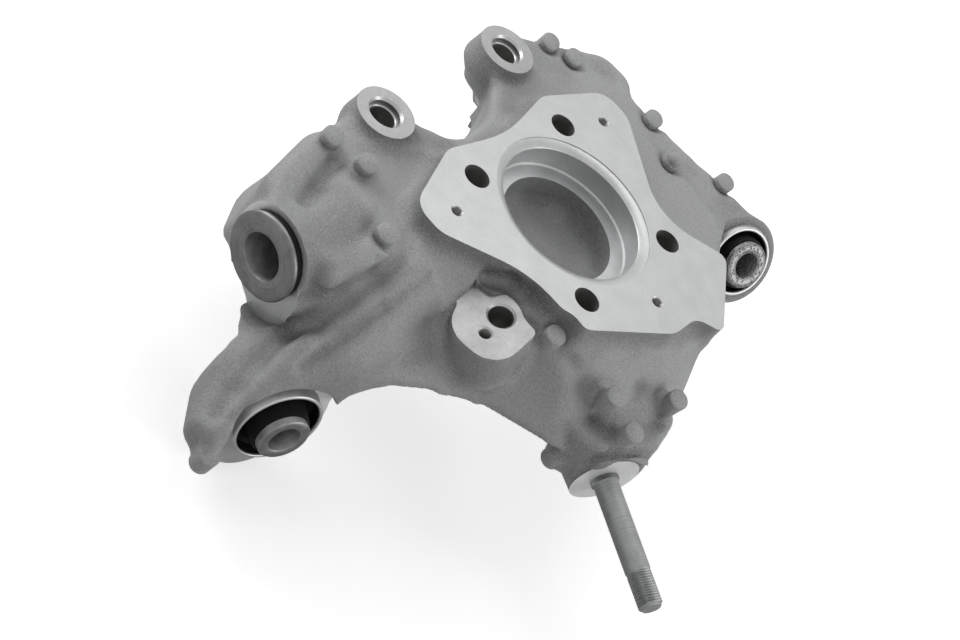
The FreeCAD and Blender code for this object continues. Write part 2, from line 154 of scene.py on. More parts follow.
# Ejector pins left by the casting die: x, y, top and length
draw_axis = Vector((0.15, -0.18, 0.97)).normalized()
pin_r = 5.0
pins = [
    (-86.0, -87.0, -3.5, 16.0), (-67.5, -82.0, -3.5, 16.0), (-36.6, -102.0, -4.0, 38.0),
    (-79.0, 88.0, -8.0, 16.0), (-66.0, 94.5, -8.0, 16.0), (-18.0, 110.0, -8.0, 16.0),
    (29.2, 119.0, -8.0, 16.0), (40.4, -57.7, -9.0, 26.0), (94.6, -44.0, -24.0, 20.0),
    (96.2, -10.0, -20.0, 20.0), (79.2, -55.8, -55.0, 9.0), (-73.5, 49.0, -42.0, 7.0),
    (-14.0, -188.0, -84.0, 11.0), (5.0, 98.0, -8.5, 5.0), (77.5, -46.0, -16.0, 11.0),
]

# Distance field of the casting
voxel = 1.25
margin = 14.0
band = 9.0
stock = 7.0
pad_stock = 3.0
fillet_large = 5.5
fillet_small = 1.6
edge_large = 4.0
edge_small = 0.9
max_triangles = 175000
# Radius of the valleys and edges that get painted shade and painted highlight
painted_light_r = 8.0
parting_z = -52.0

# Finishes of the casting, in the order of its material slots; the bore slot is painted shade, the face slot
# painted highlight
CAST, MILLED, SHADED_BORE, TURNED, FACE_HIGHLIGHT = range(5)


def unit(vector):
    return Vector(vector).normalized()


def grid_axes():
    low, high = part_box("knuckle_casting")
    low = np.array(low) / MM - margin
    high = np.array(high) / MM + margin
    counts = np.ceil((high - low) / voxel).astype(int) + 1
    return [low[i] + voxel * np.arange(counts[i]) for i in range(3)]


axes = grid_axes()
shape = tuple(len(a) for a in axes)
grid_transform = [
    [voxel, 0, 0, 0], [0, voxel, 0, 0], [0, 0, voxel, 0], [axes[0][0], axes[1][0], axes[2][0], 1],
]


def field_of(points, triangles, quads):
    """Signed distance to a closed mesh, on the grid."""
    transform = vdb.createLinearTransform(grid_transform)
    grid = vdb.FloatGrid.createLevelSetFromPolygons(
        points.astype(np.float32), triangles=triangles, quads=quads,
        transform=transform, halfWidth=band / voxel)
    values = np.empty(shape, np.float32)
    grid.copyToArray(values)
    return values


def surface_of(values, level=0.0):
    """Points, triangles and quads of the surface where the field has a level."""
    grid = vdb.FloatGrid(float(band))
    grid.copyFromArray(values.astype(np.float32))
    grid.transform = vdb.createLinearTransform(grid_transform)
    return grid.convertToPolygons(isovalue=float(level))


def offset(values, distance):
    """Field of the solid grown by a distance, or shrunk by a negative one."""
    return field_of(*surface_of(values, distance))


def closed(values, radius):
    """Inside corners are filled to a radius."""
    return offset(offset(values, radius), -radius)


def opened(values, radius):
    """Outside corners are rounded to a radius."""
    return offset(offset(values, -radius), radius)


def window(low, high):
    """Slices of the grid that hold a box."""
    cut = []
    for i in range(3):
        first = int(np.clip((low[i] - axes[i][0]) / voxel, 0, shape[i] - 1))
        last = int(np.clip((high[i] - axes[i][0]) / voxel + 2, 1, shape[i]))
        cut.append(slice(first, last))
    return tuple(cut)


def coordinates(cut):
    return np.meshgrid(axes[0][cut[0]], axes[1][cut[1]], axes[2][cut[2]], indexing="ij")


def sampled(values, x, y, z):
    """The field between its grid points."""
    spots = []
    for axis, spot, count in zip(axes, (x, y, z), shape):
        spots.append(np.clip((spot - axis[0]) / voxel, 0, count - 1.001))
    whole = [s.astype(int) for s in spots]
    part = [s - w for s, w in zip(spots, whole)]
    total = 0
    for i in (0, 1):
        for j in (0, 1):
            for k in (0, 1):
                weight = (part[0] if i else 1 - part[0]) * (part[1] if j else 1 - part[1])
                weight = weight * (part[2] if k else 1 - part[2])
                total = total + weight * values[whole[0] + i, whole[1] + j, whole[2] + k]
    return total


def smooth_least(a, b, reach):
    """The lesser of two fields, rounded where they are near each other."""
    if reach <= 0:
        return np.minimum(a, b)
    share = np.clip(0.5 + 0.5 * (b - a) / reach, 0, 1)
    return b * (1 - share) + a * share - reach * share * (1 - share)


def capsule(cut, start, end, start_r, end_r):
    """Distance to a round bar between two points, whose radius may change."""
    x, y, z = coordinates(cut)
    span = np.array(end) - np.array(start)
    share = (x - start[0]) * span[0] + (y - start[1]) * span[1] + (z - start[2]) * span[2]
    share = np.clip(share / max(float(span @ span), 1e-6), 0, 1)
    away = np.sqrt(
        (x - start[0] - share * span[0]) ** 2 + (y - start[1] - share * span[1]) ** 2
        + (z - start[2] - share * span[2]) ** 2)
    return away - (start_r + share * (end_r - start_r))


def bar_window(start, end, radius):
    low = np.minimum(start, end) - radius
    high = np.maximum(start, end) + radius
    return window(low, high)


def add_bar(values, start, end, start_r, end_r, reach):
    cut = bar_window(start, end, max(start_r, end_r) + 2 * reach + 2)
    values[cut] = smooth_least(values[cut], capsule(cut, start, end, start_r, end_r), reach)


def cut_bar(values, start, end, start_r, end_r, reach):
    cut = bar_window(start, end, max(start_r, end_r) + 2 * reach + 2)
    values[cut] = -smooth_least(-values[cut], capsule(cut, start, end, start_r, end_r), reach)


def along_and_across(cut, at, axis):
    """Distance along an axis from a point on it, and distance from that axis."""
    x, y, z = coordinates(cut)
    along = (x - at[0]) * axis[0] + (y - at[1]) * axis[1] + (z - at[2]) * axis[2]
    square = (x - at[0]) ** 2 + (y - at[1]) ** 2 + (z - at[2]) ** 2 - along ** 2
    return along, np.sqrt(np.maximum(square, 0))


def plug(values, at, axis, radius, length, hollow_r=-1.0):
    """Fills a bore: a plain cylinder, or a ring, from a face inwards."""
    at = np.array(at)
    axis = np.array(unit(axis))
    end = at - axis * length
    cut = bar_window(at, end, radius + 3)
    depth, across = along_and_across(cut, at, axis)
    solid = np.maximum(np.maximum(depth, -length - depth), across - radius)
    solid = np.maximum(solid, hollow_r - across)
    values[cut] = np.minimum(values[cut], solid)


def add_stock(values, at, normal, radius, sample_depth=1.3):
    """Runs the section just under a machined face on beyond it, as uncut stock."""
    at = np.array(at)
    n = np.array(unit(normal))
    cut = window(at - radius - stock, at + radius + stock)
    x, y, z = coordinates(cut)
    height, across = along_and_across(cut, at, n)
    drop = height + sample_depth
    section = sampled(values, x - drop * n[0], y - drop * n[1], z - drop * n[2])
    block = np.maximum(np.maximum(section, across - radius), np.maximum(height - stock, -drop))
    values[cut] = np.minimum(values[cut], block)


def eye_face(sizes):
    """Centre and outward direction of the machined face round a bush."""
    axis = unit(sizes["axis"])
    return Vector(sizes["at"]) - axis * (sizes["proud"] + sizes["stand"]), axis


def on_pad(x, y, z):
    """A place given in the sensor pad's own axes."""
    return pad_at + pad_tilt @ Vector((x, y, z))


def hub_bolts():
    side = hub_bolt_pcd / 2 * math.sqrt(0.5)
    return [(side, side), (-side, side), (-side, -side), (side, -side)]


def fill_bores(values):
    """Closes every machined hole, as in the raw casting."""
    plug(values, (0, 0, 0), (0, 0, 1), bore_chamfer_r + 1, bore_depth, dish_r)
    for x, y in hub_bolts():
        plug(values, (x, y, 0), (0, 0, 1), hub_bolt_r + 1, bolt_boss_depth)
    for x, y in shield_screws:
        plug(values, (x, y, 0), (0, 0, 1), shield_screw_r + 2, shield_screw_depth)
    for x, y in ears:
        plug(values, (x, y, ear_z), (0, 0, 1), ear_counterbore_r + 2, ear_thickness)
    plug(values, on_pad(0, 0, 0), pad_normal, sensor_r + 1, 30)
    plug(values, on_pad(*sensor_screw_step), pad_normal, sensor_screw_r + 1, sensor_screw_depth)
    for sizes in bushes.values():
        face, axis = eye_face(sizes)
        plug(values, face, axis, sizes["outer"] + 1, sizes["eye"])
    plug(values, stud_at, stud_axis, stud_neck_r + 1, stud_boss_length)


def add_all_stock(values):
    add_stock(values, (0, 0, 0), (0, 0, 1), flange_r)
    for x, y in ears:
        add_stock(values, (x, y, ear_z), (0, 0, 1), ear_r + 1.5)
    add_pad_stock(values)
    for name, sizes in bushes.items():
        face, axis = eye_face(sizes)
        add_stock(values, face, axis, sizes["outer"] + sizes["around"] + eye_flare)
        if name in lobes:
            step, radius = lobes[name]
            add_stock(values, face + Vector(step), axis, radius + 1)
    add_stock(values, stud_at, stud_axis, stud_boss_r + 3)


def rounded(corners):
    """Points round an outline whose corners (x, y, radius) are tangent arcs."""
    points = []
    count = len(corners)
    for index, (x, y, radius) in enumerate(corners):
        here = Vector((x, y))
        before = Vector(corners[index - 1][:2]) - here
        after = Vector(corners[(index + 1) % count][:2]) - here
        longest = 0.48 * min(before.length, after.length)
        before.normalize()
        after.normalize()
        half = before.angle(after) / 2
        reach = min(radius / math.tan(half), longest)
        arc_r = reach * math.tan(half)
        centre = here + (before + after).normalized() * (arc_r / math.sin(half))
        start = here + before * reach - centre
        end = here + after * reach - centre
        turn = start.angle_signed(end)
        for step in range(7):
            angle = -turn * step / 6
            spoke = Vector((
                start.x * math.cos(angle) - start.y * math.sin(angle),
                start.x * math.sin(angle) + start.y * math.cos(angle)))
            points.append(centre + spoke)
    return points


def outline_distance(x, y, points):
    """Signed distance to a closed outline, negative inside."""
    least = np.full(x.shape, 1e6)
    inside = np.zeros(x.shape, bool)
    for a, b in zip(points, points[1:] + points[:1]):
        span_x, span_y = b.x - a.x, b.y - a.y
        square = max(span_x * span_x + span_y * span_y, 1e-9)
        share = np.clip(((x - a.x) * span_x + (y - a.y) * span_y) / square, 0, 1)
        least = np.minimum(least, (x - a.x - share * span_x) ** 2 + (y - a.y - share * span_y) ** 2)
        if abs(span_y) > 1e-9:
            crosses = ((a.y > y) != (b.y > y)) & (x < span_x * (y - a.y) / span_y + a.x)
            inside ^= crosses
    return np.where(inside, -1, 1) * np.sqrt(least)


def add_pad_stock(values):
    """The sensor pad, run on past its machined face."""
    at = np.array(pad_at)
    cut = window(at - 32, at + 32)
    x, y, z = coordinates(cut)
    local = np.stack([x - at[0], y - at[1], z - at[2]], -1) @ np.array(pad_tilt.to_matrix())
    across = outline_distance(local[..., 0], local[..., 1], rounded(pad_outline))
    depth = local[..., 2]
    block = np.maximum(across, np.maximum(depth - pad_stock, -20 - depth))
    values[cut] = np.minimum(values[cut], block)


def nearness(spots, reach):
    """One close to any of the bars (start, end), falling to nothing at a reach."""
    least = np.full(shape, 1e3, np.float32)
    for start, end, radius in spots:
        cut = bar_window(np.array(start), np.array(end), radius + reach + 2)
        bar = capsule(cut, np.array(start), np.array(end), radius, radius)
        least[cut] = np.minimum(least[cut], bar)
    share = np.clip(least / reach, 0, 1)
    return 1 - share * share * (3 - 2 * share)


def crisp_places():
    """Bars round which corners stay tight: ejector pins, caliper ears and the sensor pad."""
    bars = []
    for x, y, top, length in pins:
        start = Vector((x, y, top + 2))
        bars.append((start, start - draw_axis * min(length, 14), pin_r + 3))
    for x, y in ears:
        bars.append((Vector((x, y, 6)), Vector((x, y, -12)), ear_r + 1))
    bars.append((pad_at + pad_normal * 8, pad_at - pad_normal * 3, 20))
    return bars


def stood_pins(values):
    """Clears the body round each upper pin and sets a core for every pin."""
    for x, y, top, length in pins:
        end = Vector((x, y, top))
        if top > -30:
            room_r = pin_r + 3.5
            cut_bar(values, end + draw_axis * 6, end + draw_axis * 2.8, room_r, room_r, 3.0)
        top_end = end - draw_axis * pin_r
        low_end = end - draw_axis * (length - pin_r)
        add_bar(values, top_end, low_end, pin_r - 1, pin_r - 1, 0.8)


def pin_pieces():
    """The pins: slightly tapered, with a flat end and a narrow rim."""
    made = []
    for x, y, top, length in pins:
        made.append(lathe("pin", (x, y, top), draw_axis, [
            (0, 0), (pin_r - 0.5, 0), (pin_r, -0.4), (pin_r + 0.1, -length), (0, -length)], 40))
    return made


def cut_path(values, path, radius, reach):
    """A valley along several points."""
    for start, end in zip(path, path[1:]):
        cut_bar(values, start, end, radius, radius, reach)


def add_path(values, path, radius, reach):
    """A ridge along several points."""
    for start, end in zip(path, path[1:]):
        add_bar(values, start, end, radius, radius, reach)


def cast_details(values):
    """Ridges, lands and valleys that the die leaves between the bosses."""
    # Rim from the front ear to the front bush, and the groove beside it
    add_path(values, [(-86, -88, -18), (-79, -121, -19.5)], 9.0, 4.0)
    cut_path(values, [(-77, -91, -8.5), (-72, -108, -8.5), (-68.5, -122, -7)], 4.8, 1.6)
    # Small lug beside the front bush
    add_bar(values, (-75, -126.5, -45), (-73, -120, -43), 5.5, 5.5, 2.5)
    # Corner taken off beside the front bush's face
    cut_bar(values, (-78, -144, -56), (-91, -141, -40), 9.0, 9.0, 2.5)
    # Ridge from the third pin to the front bush
    add_bar(values, (-36.6, -104, -12), (-37.5, -131, -18.5), 6.0, 5.5, 3.0)
    # Slit in the land between the front ear and its lobe
    cut_path(values, [(-72, -42.5, -7.5), (-65, -40, -7.5)], 0.9, 1.0)
    # Wall round the head of the third pin
    wall = [(-30, -109, -8.5), (-27.5, -103, -8), (-30, -96, -8.5), (-36, -92.5, -9.5)]
    add_path(values, wall, 2.2, 2.5)
    # Valley between the third pin and the arm's crest
    valley = [
        (-26.5, -95, -7), (-25.5, -112, -17), (-26, -126, -25), (-28.5, -137, -36.5), (-33, -144, -44.5)]
    cut_path(values, valley, 4.2, 4.0)
    # Trough between the sensor pad and the flange's wall
    trough = [on_pad(x, y, 3.4) for x, y in ((-16, 8), (-8, 14), (2, 15), (9, 12), (15, 11))]
    cut_path(values, trough, 4.2, 3.0)
    # Groove on the other side of the crest, and the valley at the arm's far end
    groove = [(-12.5, -94, -11), (-15, -115, -22), (-16.5, -134, -33), (-16, -153, -43.5)]
    cut_path(values, groove, 2.6, 3.0)
    far_valley = [(-33, -144, -44.5), (-33, -159, -53), (-29, -173, -62), (-25, -183, -69)]
    cut_path(values, far_valley, 4.5, 4.0)
    # Soft hollow from the sensor pad's corner down to the stud boss
    cut_path(values, [(46, -60, -13), (56, -57, -15), (67, -51, -21), (77, -51, -28)], 3.0, 5.0)
    # Hollow beside the pins over the stud
    cut_path(values, [(82, -22, -24), (88, -34, -26), (90, -46, -27)], 3.5, 4.0)
    # Shallow channel along the upper arm, and the dent in its inner corner
    cut_path(values, [(-8, 101.5, -6.5), (14, 103.5, -6.5), (34, 98, -6.5)], 5.0, 4.0)
    cut_path(values, [(-58, 103, -5.5), (-46, 108, -5.5)], 6.0, 4.0)


def column_filled(values):
    """The outer form alone: everything under the visible top is solid down to the parting."""
    top_down = np.minimum.accumulate(values[:, :, ::-1], axis=2)[:, :, ::-1]
    below = parting_z - axes[2][None, None, :]
    return np.minimum(values, np.maximum(top_down, below))


def cast_body():
    """Field of the raw casting: CAD form, stock on its faces, fillets and rounded edges."""
    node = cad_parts["knuckle_casting"].data
    node.calc_loop_triangles()
    points = np.empty(len(node.vertices) * 3, np.float32)
    node.vertices.foreach_get("co", points)
    triangles = np.empty(len(node.loop_triangles) * 3, np.int32)
    node.loop_triangles.foreach_get("vertices", triangles)
    solid = field_of(
        points.reshape(-1, 3) / MM, triangles.reshape(-1, 3).astype(np.uint32),
        np.zeros((0, 4), np.uint32))
    fill_bores(solid)
    add_all_stock(solid)
    near = nearness(crisp_places(), 8.0)
    tight = closed(solid, fillet_small)
    wide = closed(solid, fillet_large)
    solid = tight * near + wide * (1 - near)
    cast_details(solid)
    outer = field_of(*surface_of(column_filled(solid)))
    soft = opened(outer, edge_large)
    crisp = opened(outer, edge_small)
    outer = crisp * near + soft * (1 - near)
    solid = np.maximum(solid, outer)
    stood_pins(solid)
    return solid


def new_object(name, points, faces, smooth=True):
    """Mesh object from millimetre points."""
    mesh = bpy.data.meshes.new(name)
    mesh.from_pydata([tuple(c * MM for c in p) for p in points], [], faces)
    mesh.update()
    if smooth:
        mesh.shade_smooth()
    piece = bpy.data.objects.new(name, mesh)
    bpy.context.scene.collection.objects.link(piece)
    return piece


def lathe(name, at, axis, profile, segments=96, turn=None):
    """Closed solid of revolution. The profile is (radius, distance along), outward first;
    turn(radius, along, angle) may give each point another radius."""
    frame_of = Vector((0, 0, 1)).rotation_difference(unit(axis))
    at = Vector(at)
    points, rings, faces, reaches = [], [], [], []
    for radius, along in profile:
        if radius == 0:
            rings.append([len(points)] * segments)
            points.append(at + frame_of @ Vector((0, 0, along)))
            reaches.append(along)
            continue
        ring = []
        for step in range(segments):
            angle = 2 * math.pi * step / segments
            reach = turn(radius, along, angle) if turn else radius
            ring.append(len(points))
            spoke = Vector((reach * math.cos(angle), reach * math.sin(angle), along))
            points.append(at + frame_of @ spoke)
            reaches.append(radius + along)
        rings.append(ring)
    pairs = list(zip(rings, rings[1:]))
    if profile[0][0] != 0:
        pairs.append((rings[-1], rings[0]))
    for a, b in pairs:
        for step in range(segments):
            after = (step + 1) % segments
            corners = []
            for corner in (a[step], b[step], b[after], a[after]):
                if corner not in corners:
                    corners.append(corner)
            if len(corners) > 2:
                faces.append(corners)
    piece = new_object(name, points, faces)
    mark = piece.data.attributes.new("reach", "FLOAT", "POINT")
    mark.data.foreach_set("value", reaches)
    return piece


def rod(name, at, axis, radius, length, segments=96):
    """Cylinder from a point along an axis."""
    return lathe(name, at, axis, [(0, 0), (radius, 0), (radius, length), (0, length)], segments)


def tap(name, at, axis, minor_r, major_r, pitch, depth):
    """Threaded hole as a solid: its radius follows a screw line."""
    steps = 8
    rows = int(depth / pitch * steps)

    def screw(radius, along, angle):
        if radius < minor_r:
            return radius
        phase = (along / pitch - angle / (2 * math.pi)) % 1
        return minor_r + (major_r - minor_r) * (1 - abs(2 * phase - 1))

    profile = [(0, 1.0), (minor_r, 1.0)]
    for row in range(rows):
        profile.append((minor_r, -row * pitch / steps))
    profile.append((0, profile[-1][1] - 1.0))
    return lathe(name, at, axis, profile, 40, screw)


def prism(name, at, normal, points, low, high):
    """Straight solid over an outline given in its own axes."""
    tilt = Vector((0, 0, 1)).rotation_difference(unit(normal))
    at = Vector(at)
    count = len(points)
    spots = [at + tilt @ Vector((p.x, p.y, low)) for p in points]
    spots += [at + tilt @ Vector((p.x, p.y, high)) for p in points]
    faces = [list(range(count)), list(range(count, 2 * count))]
    for i in range(count):
        j = (i + 1) % count
        faces.append([i, j, count + j, count + i])
    return new_object(name, spots, faces, False)


def pad_sweep():
    """What the mill sweeps over the sensor pad: past its free edges, not into the wall behind."""
    points = rounded(pad_outline)
    middle = Vector((0, -8))
    return [p + (p - middle).normalized() * (2.5 if p.y < 2 else 1.0) for p in points]


def cutters():
    """Solids swept by the machining tools."""
    down = (0, 0, -1)
    up = (0, 0, 1)
    square = [Vector(c) for c in ((-150, -230), (150, -230), (150, 230), (-150, 230))]
    tools = [prism("face_mill", (0, 0, 0), up, square, 0, 40)]
    tools.append(lathe("bore", (0, 0, 0), up, [
        (0, 2), (bore_chamfer_r + 1.0, 2), (bore_chamfer_r + 1.0, -0.5), (bore_chamfer_r - 0.1, -0.6),
        (bore_r + 0.3, 0.4 - bore_chamfer_depth), (bore_r, -bore_chamfer_depth),
        (bore_r, 1.6 - bore_depth), (bore_r - 0.9, 0.9 - bore_depth),
        (bore_r - 0.9, -bore_depth), (0, -bore_depth)], 160))
    for x, y in hub_bolts():
        tools.append(rod("hub_bolt", (x, y, 2), down, hub_bolt_r, 60))
        tools.append(rod("bolt_seat", (x, y, 0.4 - bolt_boss_depth), down, bolt_spot_face_r, 20))
    for x, y in shield_screws:
        tools.append(tap(
            "shield_tap", (x, y, 0), up, shield_screw_r, shield_thread_r, thread_pitch,
            shield_screw_depth))
        tools.append(lathe("shield_mouth", (x, y, 0), up, [
            (0, 1), (4.2, 1), (2.6, -0.4), (0, -0.4)], 40))
    for x, y in ears:
        tools.append(rod("ear_face", (x, y, ear_z + 8), down, ear_r + 0.8, 8))
        mouth = ear_counterbore_r + 1
        tools.append(lathe("ear_bore", (x, y, ear_z), up, [
            (0, 1), (mouth + 1, 1), (mouth, 0), (ear_counterbore_r, -1.2),
            (ear_counterbore_r, -ear_counterbore_depth), (ear_bolt_r + 0.5, -ear_counterbore_depth),
            (ear_bolt_r, -ear_counterbore_depth - 0.5), (ear_bolt_r, -60), (0, -60)]))
        tools.append(rod("ear_seat", (x, y, ear_z - ear_thickness), down, ear_spot_face_r, 30))
    tools.append(prism("pad_face", pad_at, pad_normal, pad_sweep(), 0, 14))
    tools.append(lathe("sensor_bore", pad_at, pad_normal, [
        (0, 1), (sensor_r + 2.0, 1), (sensor_r, -1.0), (sensor_r, -60), (0, -60)]))
    screw_at = on_pad(*sensor_screw_step)
    tools.append(tap(
        "sensor_tap", screw_at, pad_normal, sensor_screw_core_r, sensor_screw_r, thread_pitch,
        sensor_screw_depth))
    tools.append(lathe("sensor_mouth", screw_at, pad_normal, [
        (0, 1), (4.4, 1), (2.6, -0.8), (0, -0.8)], 40))
    for name, sizes in bushes.items():
        face, axis = eye_face(sizes)
        room_r = sizes["outer"] + sizes["around"] + eye_flare + 1
        tools.append(rod(name + "_face", face, axis, room_r, 30))
        if name in lobes:
            step, radius = lobes[name]
            tools.append(rod(name + "_lobe", face + Vector(step), axis, radius + 1.6, 9))
        depth = sizes["eye"] + sizes["stand"]
        tools.append(lathe(name + "_bore", face, axis, [
            (0, 1), (sizes["outer"] + 1.6, 1), (sizes["outer"], -0.6), (sizes["outer"], -depth),
            (sizes["outer"] - sizes["wall"], -depth),
            (sizes["outer"] - sizes["wall"], -depth - sizes["stand"] - sizes["proud"] - end_room),
            (0, -depth - sizes["stand"] - sizes["proud"] - end_room)]))
    tools.append(rod("stud_face", stud_at, stud_axis, stud_boss_r + 4, 12))
    edge = stud_boss_r + 12
    tools.append(lathe("stud_ring", stud_at, stud_axis, [
        (stud_boss_r, 1), (edge, 1), (edge, -5), (stud_boss_r, -0.3)]))
    tools.append(rod("stud_bore", stud_at + stud_axis * 2, -stud_axis, stud_neck_r, 80))
    return tools


def outward(piece):
    """Turns all faces of a closed mesh outwards."""
    work = bmesh.new()
    work.from_mesh(piece.data)
    bmesh.ops.recalc_face_normals(work, faces=work.faces)
    work.to_mesh(piece.data)
    work.free()


def evaluated(piece):
    """The piece's mesh with its modifiers applied."""
    layer = bpy.context.evaluated_depsgraph_get()
    return bpy.data.meshes.new_from_object(piece.evaluated_get(layer))


def mark_painted_light(mesh, body):
    """Masks at each point: valley depth for painted shade, edge reach for painted highlight."""
    spots = np.empty(len(mesh.vertices) * 3, np.float32)
    mesh.vertices.foreach_get("co", spots)
    x, y, z = spots.reshape(-1, 3).T / MM
    valley = np.clip(-sampled(closed(body, painted_light_r), x, y, z) / 4.0, 0, 1)
    ridge = np.clip(sampled(opened(body, painted_light_r), x, y, z) / 2.5, 0, 1)
    for name, values in (("valley", valley), ("ridge", ridge)):
        mark = mesh.attributes.new(name, "FLOAT", "POINT")
        mark.data.foreach_set("value", values.astype(np.float32))


def sort_finishes(mesh):
    """Gives each machined surface its finish, and the cast one where a wall stays beside it."""
    count = len(mesh.polygons)
    centres = np.empty(count * 3, np.float32)
    mesh.polygons.foreach_get("center", centres)
    centres = centres.reshape(-1, 3) / MM
    normals = np.empty(count * 3, np.float32)
    mesh.polygons.foreach_get("normal", normals)
    normals = normals.reshape(-1, 3)
    slots = np.empty(count, np.int32)
    mesh.polygons.foreach_get("material_index", slots)
    machined = slots == 1

    def around(at, axis):
        """Distance along and from an axis, and how squarely each face looks along it."""
        axis = np.array(unit(axis))
        away = centres - np.array(at)
        along = away @ axis
        across = np.linalg.norm(away - along[:, None] * axis, axis=1)
        return along, across, np.abs(normals @ axis)

    def hole(at, axis, radius, top):
        along, across, _ = around(at, axis)
        # Hole walls take the slot coloured with painted shade
        slots[machined & (across < radius) & (along < top) & (along > -60)] = SHADED_BORE

    def faced(at, axis, radius, finish=FACE_HIGHLIGHT):
        along, across, square = around(at, axis)
        slots[machined & (across < radius) & (np.abs(along) < 0.1) & (square > 0.9)] = finish

    def wall(at, axis, radius, height):
        along, across, square = around(at, axis)
        near = (np.abs(across - radius) < 0.8) & (along > 0.1) & (along < height)
        slots[machined & near & (square < 0.4)] = CAST

    up = (0, 0, 1)
    for x, y in hub_bolts():
        hole((x, y, 0), up, hub_bolt_r + 0.4, -0.05)
    for x, y in shield_screws:
        hole((x, y, 0), up, 3.3, -0.42)
    hole(pad_at, pad_normal, sensor_r + 0.1, -1.0)
    hole(on_pad(*sensor_screw_step), pad_normal, 3.3, -0.75)
    for x, y in ears:
        at = (x, y, ear_z)
        along, across, square = around(at, up)
        slots[machined & (across < ear_r + 3) & (np.abs(along) < 0.1)] = TURNED
        inside = (across < ear_counterbore_r + 0.2) & (along < -1.1) & (along > -40) & (square < 0.5)
        slots[machined & inside] = SHADED_BORE
        wall(at, up, ear_r + 0.8, 9)
    for name, sizes in bushes.items():
        face, axis = eye_face(sizes)
        faced(face, axis, 36, CAST if name == "upper_link_bush" else FACE_HIGHLIGHT)
        wall(face, axis, sizes["outer"] + sizes["around"] + eye_flare + 1, 31)
        if name in lobes:
            step, radius = lobes[name]
            wall(face + Vector(step), axis, radius + 1.6, 10)
    faced(stud_at, stud_axis, 24)
    wall(stud_at, stud_axis, stud_boss_r + 4, 13)
    along, across, _ = around(stud_at, stud_axis)
    beside = (across > stud_boss_r - 0.2) & (across < stud_boss_r + 13)
    slots[machined & beside & (np.abs(along + 2.6) < 2.5)] = CAST
    local = (centres - np.array(pad_at)) @ np.array(pad_tilt.to_matrix())
    edge = outline_distance(local[:, 0], local[:, 1], rounded(pad_outline))
    slots[machined & (edge < 3.5) & (np.abs(local[:, 2]) < 0.1)] = TURNED
    slots[machined & (edge < 3.5) & (local[:, 2] > 0.1) & (local[:, 2] < 15)] = CAST
    mesh.polygons.foreach_set("material_index", slots)


def machined_casting(materials):
    """The cast body with its machined faces and bores cut sharp."""
    body = cast_body()
    points, triangles, quads = surface_of(body)
    faces = [tuple(q) for q in quads.tolist()] + [tuple(t) for t in triangles.tolist()]
    piece = new_object("cast_body", points.tolist(), faces)
    piece.data.materials.append(materials[CAST])
    outward(piece)
    count = 2 * len(quads) + len(triangles)
    thin = piece.modifiers.new("thin", "DECIMATE")
    thin.ratio = min(1.0, max_triangles / count)
    added = pin_pieces()
    tools = added + cutters()
    for tool in tools:
        tool.data.materials.append(materials[CAST if tool in added else MILLED])
        outward(tool)
        cut = piece.modifiers.new("cut", "BOOLEAN")
        cut.object = tool
        cut.operation = "UNION" if tool in added else "DIFFERENCE"
        cut.solver = "MANIFOLD"
        cut.material_mode = "TRANSFER"
    old = piece.data
    piece.data = evaluated(piece)
    piece.modifiers.clear()
    bpy.data.meshes.remove(old)
    for tool in tools:
        bpy.data.objects.remove(tool)
    for material in materials[SHADED_BORE:]:
        piece.data.materials.append(material)
    sort_finishes(piece.data)
    mark_painted_light(piece.data, body)
    crease(piece, 32)
    return piece


def crease(piece, degrees):
    """Hard edges between finishes and at machined corners; castings stay smooth."""
    mesh = piece.data
    work = bmesh.new()
    work.from_mesh(mesh)
    limit = math.radians(degrees)
    cast_limit = max(limit, math.radians(55))
    for face in work.faces:
        face.smooth = face.material_index == CAST or any(
            len(edge.link_faces) == 2 and 0.01 < edge.calc_face_angle() < limit for edge in face.edges)
    for edge in work.edges:
        if len(edge.link_faces) != 2:
            continue
        a, b = edge.link_faces
        cast = a.material_index == CAST and b.material_index == CAST
        angle = edge.calc_face_angle()
        if cast:
            edge.smooth = angle < cast_limit
        else:
            edge.smooth = a.material_index == b.material_index and angle < limit
    work.to_mesh(mesh)
    work.free()


